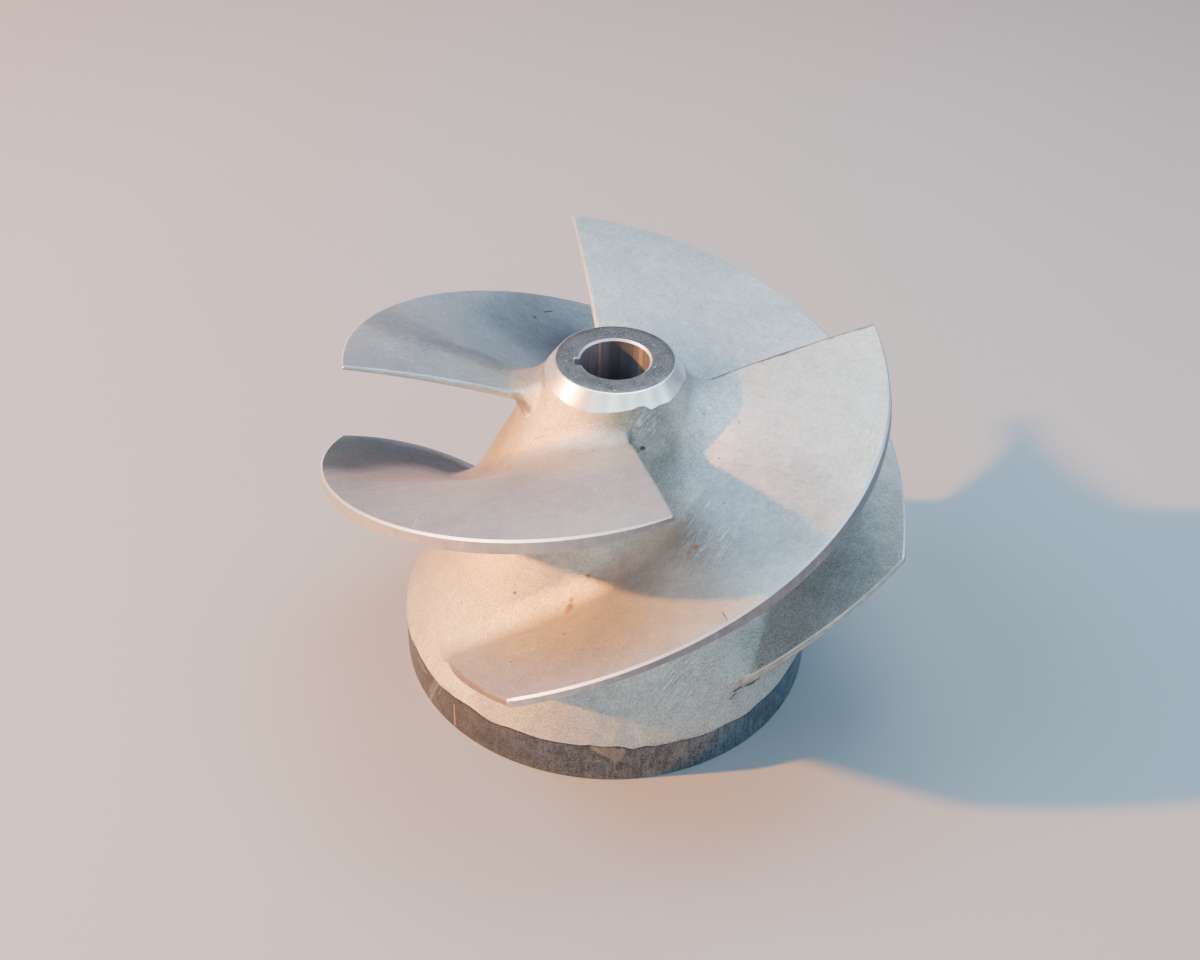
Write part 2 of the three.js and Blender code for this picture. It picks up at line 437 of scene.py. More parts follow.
# --- Hub: outside, nose, bore with keyway, boss and cored back, as one closed turned body ---
TURN = 360
KEY_STEPS = 12
SKIN_ROWS = 72
LEVEL_WALL = WALL * 1.12  # the shell's wall, measured level


def bore_outline(k, grow=0.0):
    """Point of the bore's outline for turning step k: a circle with the keyway's notch in it."""
    half = KEY_WIDTH / 2 + grow * 0.3
    r = BORE_R + grow
    mouth = sqrt(r * r - half * half)
    step = (k - KEY_AZ * TURN / 360 + TURN / 2) % TURN - TURN / 2
    if abs(step) <= KEY_STEPS:
        turn = pi / 2 * step / KEY_STEPS
        across = half * abs(sin(turn)) ** 0.5 * (1 if turn > 0 else -1)
        out = mouth + (BORE_R + KEY_DEPTH + grow * 0.3 - mouth) * abs(cos(turn)) ** 0.5
        return hypot(out, across), radians(KEY_AZ) + atan2(across, out)
    start = atan2(half, mouth)
    share = (abs(step) - KEY_STEPS) / (TURN / 2 - KEY_STEPS)
    return r, radians(KEY_AZ) + lerp(start, pi, share) * (1 if step > 0 else -1)


def chamfer_radius(z):
    return lerp(NOSE_R, HUB_R[-1], (NOSE_Z - z) / (NOSE_Z - HUB_TOP_Z))


def azimuth_at(k):
    """Azimuth of turning step k, from -180 to 180 degrees."""
    az = k * 360 / TURN
    return az - 360 if az > 180 else az


def hub_column(k):
    """Outline of the hub at turning step k, and the finish of each stretch between its points."""
    az = azimuth_at(k)
    a = radians(az)
    points, finish = [], []

    def to(r, z, kind, turn=a):
        points.append(polar(r, z, turn))
        finish.append(kind)

    low, high = band_edge(az), nose_edge(az)
    to(RIM_INNER_R + 0.5, 0, "rim")
    to(BAND_R - 0.5, 0, "rim")
    to(BAND_R, 0.5, "band")
    for i in range(1, 8):
        to(BAND_R, lerp(0.5, low - 1.3, i / 7), "band")
    # The dark seam line under the skin's edge is painted shadow on the band.
    to(BAND_R, low, "skin")  # the cast skin starts here, over a dark seam
    for i in range(1, SKIN_ROWS):
        z = lerp(low, high, i / SKIN_ROWS)
        to(min(skin_radius(z, az), chamfer_radius(z)), z, "skin")
    to(chamfer_radius(high), high, "chamfer")
    for i in range(1, 4):
        z = lerp(high, NOSE_Z - 0.25, i / 3)
        to(chamfer_radius(z), z, "chamfer")
    to(NOSE_R - 0.4, NOSE_Z, "nose")
    rim, turn = bore_outline(k, BORE_CHAMFER)
    for i in range(1, 4):
        mid = lerp(NOSE_R - 0.4, rim, i / 3)
        to(mid, NOSE_Z, "nose" if i < 3 else "bore_edge", lerp(a, a + (turn - a + pi) % (2 * pi) - pi, i / 3))
    r, turn = bore_outline(k)
    to(r, NOSE_Z - BORE_CHAMFER, "bore", turn)
    for i in range(1, 12):
        to(r, lerp(NOSE_Z - BORE_CHAMFER, BOSS_END_Z + 0.8, i / 11), "bore" if i < 11 else "bore_edge", turn)
    rim, turn = bore_outline(k, 0.8)
    to(rim, BOSS_END_Z, "rim", turn)
    to(BOSS_R - 0.8, BOSS_END_Z, "bore_edge")
    to(BOSS_R, BOSS_END_Z + 0.8, "core")
    for i in range(1, 9):
        to(BOSS_R, lerp(BOSS_END_Z + 0.8, CORE_TOP_Z - 5, i / 8), "core")
    top = hub_radius(CORE_TOP_Z) - LEVEL_WALL
    for t, rise in ((0.12, 0.35), (0.3, 0.8), (0.75, 0.8), (0.93, 0.3)):
        to(lerp(BOSS_R, top, t), CORE_TOP_Z + CORE_END_R * rise, "core")
    for i in range(1, 19):
        z = lerp(CORE_TOP_Z - 2, BAND_H - 4, i / 18)
        wall = hub_radius(max(z, BAND_H)) - LEVEL_WALL
        to(lerp(RIM_INNER_R - 1.5, wall, smooth(z, 6, 26)), z, "core")
    to(RIM_INNER_R, 12, "core")
    to(RIM_INNER_R, 0.5, "rim")
    to(RIM_INNER_R + 0.5, 0, "rim")
    return points, finish


def make_hub(finishes):
    columns = [hub_column(k)[0] for k in range(TURN)]
    kinds = hub_column(0)[1]
    rows = len(kinds)
    bm = bmesh.new()
    line = bm.edges.new((bm.verts.new((1, 0, 0)), bm.verts.new((rows, 0, 0))))
    bmesh.ops.subdivide_edges(bm, edges=[line], cuts=rows - 2)
    bmesh.ops.spin(
        bm, geom=bm.verts[:] + bm.edges[:], cent=(0, 0, 0), axis=(0, 0, 1), angle=2 * pi, steps=TURN, use_merge=True
    )
    place = {}
    border = bm.verts.layers.float.new("above_border")
    for v in bm.verts:
        j = round(hypot(v.co.x, v.co.y)) - 1
        k = round(atan2(v.co.y, v.co.x) / (2 * pi) * TURN) % TURN
        place[v] = j
        v.co = columns[k][j]
        v[border] = v.co.z / MM - band_edge(azimuth_at(k))
    order = list(finishes)
    for f in bm.faces:
        f.material_index = order.index(kinds[min(place[v] for v in f.verts)])
    shaped("hub", bm, list(finishes.values()), 24)


# --- Material tools ---
def plug(tree, socket, value):
    if isinstance(value, bpy.types.NodeSocket):
        tree.links.new(value, socket)
    elif isinstance(value, tuple) and len(value) == 3 and socket.type == "RGBA":
        socket.default_value = (*value, 1)
    else:
        socket.default_value = value


def node(tree, kind, inputs=None, **settings):
    made = tree.nodes.new("ShaderNode" + kind)
    for key, value in settings.items():
        setattr(made, key, value)
    for key, value in (inputs or {}).items():
        plug(tree, made.inputs[key], value)
    return made


def calc(tree, operation, a, b=0.0, clamp=False):
    return node(tree, "Math", {0: a, 1: b}, operation=operation, use_clamp=clamp).outputs[0]


def times(tree, a, b):
    return calc(tree, "MULTIPLY", a, b)


def plus(tree, a, b):
    return calc(tree, "ADD", a, b)


def vcalc(tree, operation, a, b=(0.0, 0.0, 0.0), out=0, **extra):
    return node(tree, "VectorMath", {0: a, 1: b, **extra}, operation=operation).outputs[out]


def blend(tree, factor, a, b, how="MIX"):
    return node(tree, "Mix", {0: factor, 6: a, 7: b}, data_type="RGBA", blend_type=how).outputs[2]


def remap(tree, value, low, high, to_low=0.0, to_high=1.0, soft=False):
    inputs = dict(enumerate((value, low, high, to_low, to_high)))
    return node(tree, "MapRange", inputs, interpolation_type="SMOOTHSTEP" if soft else "LINEAR").outputs[0]


def cloud(tree, where, size, detail=2.0, rough=0.5, warp=0.0):
    """Noise whose features are about size millimetres across."""
    inputs = {"Vector": where, "Scale": 1 / (size * MM), "Detail": detail, "Roughness": rough, "Distortion": warp}
    return node(tree, "TexNoise", inputs).outputs["Fac"]


def weigh(tree, *parts):
    """Sum of values, each times its own share."""
    total = None
    for value, share in parts:
        part = times(tree, value, share)
        total = part if total is None else plus(tree, total, part)
    return total


def swing(tree, value, much):
    """How far a value lies above or below its middle, 0.5, times much."""
    return times(tree, calc(tree, "SUBTRACT", value, 0.5), much)


def shaken(tree, where, scale, much):
    """A random push for coordinates, of up to about much millimetres."""
    rough = node(tree, "TexNoise", {"Vector": where, "Scale": scale, "Detail": 2.0}).outputs["Color"]
    return vcalc(tree, "SCALE", vcalc(tree, "SUBTRACT", rough, (0.5, 0.5, 0.5)), Scale=much * MM)


def over(tree, colour, mask, strength, paint):
    """A colour laid over another one where the mask is."""
    return blend(tree, times(tree, mask, strength), colour, paint)


def tinted(tree, factor, colour, tint):
    """A colour multiplied by a tint, as far as the factor says."""
    return blend(tree, factor, colour, blend(tree, 1.0, colour, tint, "MULTIPLY"))


def sunk(tree, height, mask, depth):
    """Relief lowered by a depth where the mask is."""
    return calc(tree, "SUBTRACT", height, times(tree, mask, depth))


def group(name, inputs, outputs):
    """A new node group. Its sockets are given with their start values, as numbers or vectors."""
    tree = bpy.data.node_groups.new(name, "ShaderNodeTree")
    for side, sockets in (("INPUT", inputs), ("OUTPUT", outputs)):
        for label, value in sockets.items():
            kind = "NodeSocketVector" if isinstance(value, tuple) else "NodeSocketFloat"
            tree.interface.new_socket(label, in_out=side, socket_type=kind).default_value = value
    return tree, tree.nodes.new("NodeGroupInput").outputs, tree.nodes.new("NodeGroupOutput").inputs


def use(tree, made, inputs):
    placed = tree.nodes.new("ShaderNodeGroup")
    placed.node_tree = made
    for key, value in inputs.items():
        plug(tree, placed.inputs[key], value)
    return placed.outputs


ORIGIN = (0.0, 0.0, 0.0)


def blast_grain():
    """Bead-blasted skin: sand-like craters, a coarser orange peel, dark pinholes and slow clouding."""
    tree, given, put = group(
        "blast_grain", {"Vector": ORIGIN, "Grain": 1.0}, {"Height": 0.0, "Tone": 0.0, "Cloud": 0.0, "Pinholes": 0.0}
    )
    where = given["Vector"]
    fine = cloud(tree, where, 0.95, 3.0, 0.9)
    peel = cloud(tree, where, 2.6, 2.0, 0.5)
    slow = cloud(tree, where, 26, 2.0, 0.5)
    patch = cloud(tree, vcalc(tree, "ADD", where, (0.31, 0.17, 0.05)), 30, 2.0, 0.5)
    height = weigh(tree, (fine, times(tree, given["Grain"], 0.14)), (peel, 0.12), (slow, 0.45))
    plug(tree, put["Height"], height)
    both = plus(tree, swing(tree, fine, given["Grain"]), swing(tree, peel, 0.35))
    both = plus(tree, both, 0.5)
    plug(tree, put["Tone"], remap(tree, both, 0.28, 0.72))
    tone = times(tree, cloud(tree, where, 45, 3.0, 0.6, 0.6), 0.5)
    tone = plus(tree, tone, times(tree, cloud(tree, where, 7, 4.0, 0.65, 0.5), 0.5))
    plug(tree, put["Cloud"], remap(tree, tone, 0.36, 0.64))
    deep = remap(tree, cloud(tree, where, 0.8, 1.0, 0.5), 0.32, 0.22, soft=True)
    plug(tree, put["Pinholes"], times(tree, deep, remap(tree, patch, 0.4, 0.6, 0.25, 1.0)))
    return tree


def specks():
    """Scattered small spots: a mask of ragged dots, some cells empty."""
    tree, given, put = group(
        "specks", {"Vector": ORIGIN, "Spacing": 0.02, "Size": 0.001, "Share": 0.3}, {"Mask": 0.0}
    )
    where = vcalc(tree, "ADD", given["Vector"], shaken(tree, given["Vector"], 900, 1.6))
    cells = node(tree, "TexVoronoi", {"Vector": where, "Scale": calc(tree, "DIVIDE", 1.0, given["Spacing"])})
    reach = times(tree, cells.outputs["Distance"], given["Spacing"])
    picked = node(tree, "SeparateColor", {0: cells.outputs["Color"]}).outputs
    size = times(tree, given["Size"], remap(tree, picked[1], 0, 1, 0.35, 1.0))
    dot = calc(tree, "SUBTRACT", 1.0, calc(tree, "DIVIDE", reach, size), clamp=True)
    dot = remap(tree, dot, 0.0, 0.6, soft=True)
    plug(tree, put["Mask"], times(tree, dot, calc(tree, "LESS_THAN", picked[0], given["Share"])))
    return tree


def ragged():
    """Coordinates shaken a little, so that marks laid on them get torn edges."""
    tree, given, put = group("ragged", {"Vector": ORIGIN}, {"Vector": ORIGIN})
    pushes = [shaken(tree, given["Vector"], scale, much) for scale, much in ((625, 1.3), (200, 2.0))]
    plug(tree, put["Vector"], vcalc(tree, "ADD", given["Vector"], vcalc(tree, "ADD", *pushes)))
    return tree


def spot():
    """A soft round mark."""
    tree, given, put = group(
        "spot", {"Vector": ORIGIN, "Centre": ORIGIN, "Radius": 0.001, "Strength": 1.0}, {"Mask": 0.0}
    )
    gap = vcalc(tree, "DISTANCE", given["Vector"], given["Centre"], out=1)
    full = times(tree, given["Radius"], 0.35)
    plug(tree, put["Mask"], remap(tree, gap, given["Radius"], full, 0.0, given["Strength"], soft=True))
    return tree


def streak():
    """A mark along a straight line between two points."""
    tree, given, put = group(
        "streak",
        {"Vector": ORIGIN, "From": ORIGIN, "To": (0.0, 0.0, 0.01), "Width": 0.0005, "Strength": 1.0},
        {"Mask": 0.0},
    )
    run = vcalc(tree, "SUBTRACT", given["To"], given["From"])
    away = vcalc(tree, "SUBTRACT", given["Vector"], given["From"])
    along, whole = (vcalc(tree, "DOT_PRODUCT", way, run, 1) for way in (away, run))
    passed = vcalc(tree, "SCALE", run, Scale=calc(tree, "DIVIDE", along, whole, clamp=True))
    near = vcalc(tree, "SUBTRACT", away, passed)
    edge, full = (times(tree, given["Width"], share) for share in (MARK_EDGE, MARK_FULL))
    gap = vcalc(tree, "LENGTH", near, out=1)
    plug(tree, put["Mask"], remap(tree, gap, edge, full, 0.0, given["Strength"], soft=True))
    return tree


def file_marks():
    """A patch of short parallel strokes, as a file or a grinding disc leaves them."""
    tree, given, put = group(
        "file_marks",
        {"Vector": ORIGIN, "Centre": ORIGIN, "Reach": 0.02, "Along": (1.0, 0.0, 0.0)},
        {"Mask": 0.0, "Dark": 0.0},
    )
    away = vcalc(tree, "SUBTRACT", given["Vector"], given["Centre"])
    along = vcalc(tree, "DOT_PRODUCT", away, given["Along"], out=1)
    stroke = vcalc(tree, "SCALE", given["Along"], Scale=times(tree, along, 0.93))
    lines = cloud(tree, vcalc(tree, "SUBTRACT", away, stroke), 0.75, 2.0, 0.6)
    inside = calc(tree, "DIVIDE", vcalc(tree, "LENGTH", away, out=1), given["Reach"])
    inside = remap(tree, inside, 1.0, 0.3, soft=True)
    broken = remap(tree, cloud(tree, given["Vector"], 5, 2.0, 0.6), 0.38, 0.6, soft=True)
    inside = times(tree, inside, broken)
    for label, low, high in (("Mask", 0.52, 0.64), ("Dark", 0.46, 0.36)):
        plug(tree, put[label], times(tree, remap(tree, lines, low, high, soft=True), inside))
    return tree


def turning_marks():
    """Lathe lines round the axis: Across is the coordinate that they step along."""
    tree, given, put = group("turning_marks", {"Across": 0.0, "Pitch": 0.0004}, {"Height": 0.0, "Tone": 0.0})
    steps = calc(tree, "DIVIDE", given["Across"], given["Pitch"])
    line, slow = (
        node(tree, "TexNoise", {"W": steps, **kind}, noise_dimensions="1D").outputs["Fac"]
        for kind in ({"Scale": 1.0, "Detail": 3.0, "Roughness": 0.7}, {"Scale": 0.13, "Detail": 1.0})
    )
    plug(tree, put["Height"], line)
    plug(tree, put["Tone"], weigh(tree, (line, 0.6), (slow, 0.4)))
    return tree


GRAIN, SPECKS, RAGGED, SPOT, STREAK, FILED, TURNING = (
    blast_grain(), specks(), ragged(), spot(), streak(), file_marks(), turning_marks()
)


def new_material(name):
    m = bpy.data.materials.new(name)
    m.use_nodes = True
    tree = m.node_tree
    tree.nodes.clear()
    shader = node(tree, "BsdfPrincipled")
    out = node(tree, "OutputMaterial")
    tree.links.new(shader.outputs[0], out.inputs[0])
    where = node(tree, "TexCoord").outputs["Object"]
    return m, tree, shader, where


def coat(tree, shader, colour, metallic, roughness, relief, depth):
    """Gives the shader its finish. The relief is in shares of the depth, which is in millimetres."""
    plug(tree, shader.inputs["Base Color"], colour)
    plug(tree, shader.inputs["Metallic"], metallic)
    plug(tree, shader.inputs["Roughness"], roughness)
    raised = node(tree, "Bump", {"Strength": 1.0, "Distance": depth * MM, "Height": relief})
    plug(tree, shader.inputs["Normal"], raised.outputs[0])


def most(tree, masks):
    """The strongest of several masks, joined one by one as they are made."""
    found = None
    for mask in masks:
        found = mask if found is None else calc(tree, "MAXIMUM", found, mask)
    return found


def drawn(tree, name):
    """Value that the mesh's own points carry."""
    return node(tree, "Attribute", attribute_name=name).outputs["Fac"]


def scaled(values, much):
    return tuple(v * much for v in values)


def spots_at(tree, where, marks):
    """Round marks, as (place, radius, strength), in millimetres."""
    return most(tree, (
        use(tree, SPOT, {"Vector": where, "Centre": scaled(at, MM), "Radius": size * MM, "Strength": strong})["Mask"]
        for at, size, strong in marks
    ))


def lines_at(tree, where, marks):
    """Marks along lines, as (from, to, width, strength), in millimetres."""
    def line(a, b, width, strength):
        ends = {"From": scaled(a, MM), "To": scaled(b, MM)}
        return use(tree, STREAK, {"Vector": where, **ends, "Width": width * MM, "Strength": strength})["Mask"]

    return most(tree, (line(*mark) for mark in marks))


# Marks on the cast skin: spots as (place, radius, strength), lines as (from, to, width, strength), in millimetres
RUST_SPOTS = (
    ((-16.9, -79.9, 89.1), 3.4, 1), ((-17.6, -82, 88), 2, 1), ((-16.2, -76.5, 91.1), 2, 0.8),
    ((39.4, -78.7, 128.7), 2.4, 1), ((36.4, -79.9, 126.6), 1.6, 0.8), ((-9.1, -69.6, 100.3), 1.6, 0.9),
    ((-71.2, -51.3, 63.2), 1.1, 0.9), ((-9.5, -121.2, 103.4), 0.9, 0.8), ((-8.1, -49.4, 158.6), 1.7, 0.6),
    ((-9.7, -58.6, 161.1), 1.3, 0.5), ((61.5, 62.2, 60.4), 2.4, 0.8), ((-84, 51.5, 96), 1.8, 0.7),
)
STAINS = (
    ((-17.8, -44.8, 154.6), 2.8, 0.8), ((-8.1, -49.4, 158.6), 4.2, 0.8), ((-9.7, -58.6, 161.1), 3.2, 0.7),
    ((-17.4, -55.6, 157.8), 3.4, 0.6), ((-13, -51.8, 157.9), 8, 0.3), ((-45, -62.6, 150.5), 3, 0.5),
    ((-40.8, -70, 154.9), 3.2, 0.5), ((-50.8, -8.1, 134.2), 2.2, 0.7), ((-26, -40, 148), 5.5, 0.35),
    ((-48.9, -32.3, 131.7), 5, 0.5), ((-56, -29, 124), 4, 0.35), ((-32.7, -1.1, 170.1), 4, 0.9),
    ((-31.9, -7.7, 170.1), 4.6, 1), ((-31.1, -12.6, 168.9), 4.2, 0.8), ((-32.8, -16.3, 163.4), 5, 0.5),
    ((39.4, -79.2, 128.5), 5.5, 0.4), ((-14, -76, 92), 7, 0.4), ((67.5, -77.6, 41.5), 2.2, 0.9),
    ((72.2, -76.3, 44.6), 1.8, 0.7),
)
PITS = (
    ((-43.9, -64, 82.5), 1.3, 1), ((-5, -77.6, 96.5), 1.3, 1), ((-18.7, -102.2, 94.1), 1.2, 0.9),
    ((-42.1, -112, 84.3), 1.2, 0.9), ((59, -21.7, 157.5), 0.9, 0.8), ((49.9, -36.8, 147.4), 0.9, 0.9),
    ((51.9, -60.5, 140), 0.7, 0.7), ((-44.9, 107.5, 129.4), 1.9, 0.8), ((-109.5, -57.8, 134.9), 0.8, 0.8),
    ((42.8, -15.2, 156.7), 1.3, 0.6), ((-70, -30, 60), 0.7, 0.7), ((36, 70.5, 70), 1, 0.9),
)
PALE_SPOTS = (
    ((-42.6, -113.4, 85), 0.9, 1), ((-6.6, -91.7, 170.1), 1.5, 0.6), ((26.2, 84.3, 163.6), 1, 0.8),
    ((27.2, 81, 162.6), 0.8, 0.7), ((65.5, 60.8, 143.4), 1.3, 0.9), ((45.7, -12, 157.4), 1.8, 0.7),
    ((123.8, -47.2, 160.6), 2.5, 0.5), ((12, -34, 164), 2.2, 0.5),
)
PALE_LINES = (
    ((-99.2, -52.7, 133.6), (-95.2, -43.3, 129.2), 1.1, 1), ((-83.5, -102.1, 154), (-84.3, -87.5, 149.5), 1.3, 0.6),
    ((-84.3, -87.5, 149.5), (-76, -79.5, 148.5), 1.2, 0.6), ((-40.4, -105.1, 83), (-31.4, -105.9, 88.2), 1, 0.7),
    ((-42.1, -109.8, 85.2), (-33.9, -109.7, 89), 0.9, 0.5), ((32.8, -88.3, 50.2), (45.9, -77.3, 58.7), 0.7, 0.7),
    ((24.9, -93.9, 44), (32.7, -87.6, 51.6), 0.8, 0.7), ((42, -16.6, 156.2), (45.7, -12, 157.4), 0.7, 0.8),
    ((10.6, -35.1, 163.5), (19.1, -27.7, 168.8), 0.6, 0.6),
)
# Dark lines of painted shadow in slits and along the lower sides of edges
SHADOW_LINES = (
    ((8, -43.6, 159), (14.4, -39.3, 153.2), 1.9, 1), ((-45.8, -11, 159.8), (-41.2, -13.5, 154.8), 6, 0.55),
    ((43, 8.4, 158.2), (82.3, 16.4, 172.5), 3.6, 0.8), ((82.3, 16.4, 172.5), (124, 26.4, 183.8), 3, 0.75),
    ((-40, 116.9, 127), (-34.8, 121.6, 125), 1.3, 0.8), ((49.4, -122.6, 130.8), (50.9, -127.3, 131.3), 1, 0.8),
    ((65.1, -78.3, 34.4), (61.7, -82, 33.2), 1, 0.8), ((64.9, -79.1, 36.4), (68, -76, 36.3), 1.9, 1),
    ((68, -76, 36.3), (74.4, -70.1, 34), 1.5, 0.9), ((74.4, -70.1, 34), (77.4, -67.3, 33.6), 0.9, 0.6),
)
# Cool bluish spots of painted shade on the skin
COOL_SHADE_SPOTS = (
    ((8.1, -39.9, 159.6), 4.5, 1), ((44, -14, 156.9), 6, 0.5), ((52, 6, 160), 9, 0.4), ((8, -78, 112), 14, 0.35),
)
# Patches dressed with a file, as (middle, reach, direction of the strokes)
DRESSED = (
    ((36.6, -86.6, 51), 27, (0.62, 0.54, 0.57)), ((42, -80.7, 129.9), 24, (0.50, 0.81, 0.38)),
    ((40.5, -59.2, 133), 13, (0.50, 0.81, 0.38)), ((14.8, -31.8, 165), 12, (0.62, 0.54, 0.57)),
    ((-103.8, 12.2, 171.3), 26, (0.88, 0.45, 0.1)), ((120, -50, 158), 22, (-0.35, -0.9, -0.2)),
    ((-88, 38, 62), 22, (0.3, 0.6, 0.74)),
)


def cast_skin(name="blasted_cast_steel", tint=1.0, marked=True):
    m, tree, shader, where = new_material(name)
    parts = node(tree, "SeparateXYZ", {0: where}).outputs
    sand = remap(tree, parts["Z"], 0.040, 0.125, 2.9, 1.05, soft=True)
    core = vcalc(tree, "LENGTH", vcalc(tree, "MULTIPLY", where, (1.0, 1.0, 0.0)), out=1)
    sand = plus(tree, sand, remap(tree, core, 0.052, 0.072, 0.8, 0.0, soft=True))
    grain = use(tree, GRAIN, {"Vector": where, "Grain": sand})
    dark, light = scaled((0.43, 0.42, 0.405), tint), scaled((0.645, 0.635, 0.62), tint)
    colour = blend(tree, grain["Tone"], dark, light)
    dull = blend(tree, 1.0, colour, (0.80, 0.80, 0.81), "MULTIPLY")
    colour = blend(tree, grain["Cloud"], dull, blend(tree, 1.0, colour, (1.07, 1.07, 1.06), "MULTIPLY"))
    warm = remap(tree, cloud(tree, where, 18, 2.0, 0.6), 0.42, 0.62)
    colour = tinted(tree, times(tree, warm, 0.5), colour, (1.04, 0.985, 0.93))
    # Painted light: a warm tint on the hub's side towards -X and -Y, where the warm key light falls.
    left = vcalc(tree, "DOT_PRODUCT", where, (-0.8, -0.6, 0.0), out=1)
    left = remap(tree, left, 0.0, 0.03, soft=True)
    painted_sun_warmth = times(tree, remap(tree, core, 0.085, 0.055, soft=True), left)
    colour = tinted(tree, painted_sun_warmth, colour, (1.0, 0.925, 0.80))
    torn = use(tree, RAGGED, {"Vector": where})["Vector"]
    rust = use(tree, SPECKS, {"Vector": where, "Spacing": 0.042, "Size": 0.001, "Share": 0.3})["Mask"]
    aside = vcalc(tree, "ADD", where, (0.5, 0.3, 0.1))
    pits = use(tree, SPECKS, {"Vector": aside, "Spacing": 0.012, "Size": 0.0006, "Share": 0.4})["Mask"]
    colour = over(tree, colour, grain["Pinholes"], 0.5, (0.2, 0.19, 0.18))
    height = grain["Height"]
    if marked:
        # Painted shade: cool bluish darkening round these spots.
        cool_shade = spots_at(tree, torn, COOL_SHADE_SPOTS)
        colour = tinted(tree, times(tree, cool_shade, 0.6), colour, (0.66, 0.72, 0.79))
        stain = spots_at(tree, torn, STAINS)
        blotched = remap(tree, cloud(tree, where, 1.6, 3.0, 0.65), 0.42, 0.6, soft=True)
        colour = over(tree, colour, times(tree, stain, blotched), 0.75, (0.36, 0.23, 0.13))
        rust = calc(tree, "MAXIMUM", rust, spots_at(tree, torn, RUST_SPOTS))
        pits = calc(tree, "MAXIMUM", pits, spots_at(tree, where, PITS))
        pale = calc(tree, "MAXIMUM", spots_at(tree, torn, PALE_SPOTS), lines_at(tree, torn, PALE_LINES))
        strokes = cuts = 0.0
        for middle, reach, along in DRESSED:
            place = {"Vector": where, "Centre": scaled(middle, MM), "Reach": reach * MM}
            patch = use(tree, FILED, {**place, "Along": tuple(Vector(along).normalized())})
            strokes = calc(tree, "MAXIMUM", patch["Mask"], strokes)
            cuts = calc(tree, "MAXIMUM", patch["Dark"], cuts)
        # Painted shade: the skin is darkened and cooled where the mesh points carry the painted shade patches.
        colour = tinted(tree, drawn(tree, "cool_painted_shade"), colour, (0.27, 0.38, 0.41))
        uneven = remap(tree, cloud(tree, where, 9, 3.0, 0.6), 0.35, 0.62, 0.8, 1.1)
        painted_shade = times(tree, drawn(tree, "painted_shade"), uneven)
        colour = tinted(tree, painted_shade, colour, (0.50, 0.50, 0.50))
        colour = over(tree, colour, strokes, 0.55, (0.86, 0.86, 0.85))
        colour = over(tree, colour, cuts, 0.4, (0.20, 0.195, 0.19))
        colour = over(tree, colour, pale, 0.8, (0.80, 0.79, 0.78))
        # Painted shadow along these lines; they are also sunk a little into the relief.
        crease = lines_at(tree, torn, SHADOW_LINES)
        colour = over(tree, colour, crease, 0.9, (0.075, 0.065, 0.06))
        height = sunk(tree, sunk(tree, height, crease, 0.4), strokes, 0.06)
    rusty = times(tree, rust, 0.85)
    colour = blend(tree, rusty, colour, blend(tree, grain["Tone"], (0.11, 0.045, 0.022), (0.36, 0.15, 0.045)))
    colour = over(tree, colour, pits, 0.85, (0.09, 0.075, 0.065))
    metallic = remap(tree, rust, 0, 1, 0.9, 0.1)
    roughness = remap(tree, grain["Tone"], 0, 1, 0.62, 0.48)
    height = sunk(tree, sunk(tree, height, pits, 0.14), grain["Pinholes"], 0.06)
    coat(tree, shader, colour, metallic, roughness, height, 1.0)
    return m


# Marks on the turned band, as (from, to, width, strength), in millimetres
BAND_SCRAPES = (
    ((-3.4, -106.9, 22.9), (6.4, -106.8, 16.1), 4.6, 0.75), ((9.6, -106.6, 20.8), (7.4, -106.7, 14.4), 5, 0.75),
    ((1.4, -107, 22.5), (8.2, -106.7, 20.2), 5.6, 0.75), ((5.5, -106.8, 19), (7, -106.8, 16), 6.5, 0.75),
    ((-82, -67.9, 24.3), (-89.1, -59.2, 1.2), 2.6, 0.8), ((-84.3, -65.8, 23.5), (-88.8, -59.7, 7), 1.8, 0.7),
    ((-80, -71, 24), (-83.5, -66.8, 13), 1.3, 0.5), ((-95.8, -47.6, 19), (-90.6, -57, 18.7), 1.7, 1),
    ((-3.2, -106.9, 12), (-0.4, -107, 14.5), 0.9, 0.9), ((-14.8, -106, 5.1), (-12.4, -106.3, 7), 1, 0.6),
    ((21.9, -104.7, 3.5), (25.2, -104, 6.5), 1.7, 0.5), ((23.7, -104.3, 6.8), (24.4, -104.2, 2.2), 1.3, 0.5),
)
BAND_STAINS = (
    ((-11.6, -106.4, 21.8), (-6.3, -106.8, 22.6), 3.4, 0.8), ((-96, -47.5, 12), (-92.5, -53.6, 14), 4, 0.5),
    ((-77, -74.2, 16), (-70.5, -80.4, 12), 5, 0.4),
)
# Copper-toned tool marks, painted bright as glints of warm light
BAND_COPPER_GLINTS = (
    ((-74.2, -77.1, 17), (-74.3, -77, 2.4), 0.85, 1), ((-3, -106.9, 22.6), (0.6, -106.9, 19.4), 2, 0.2),
)


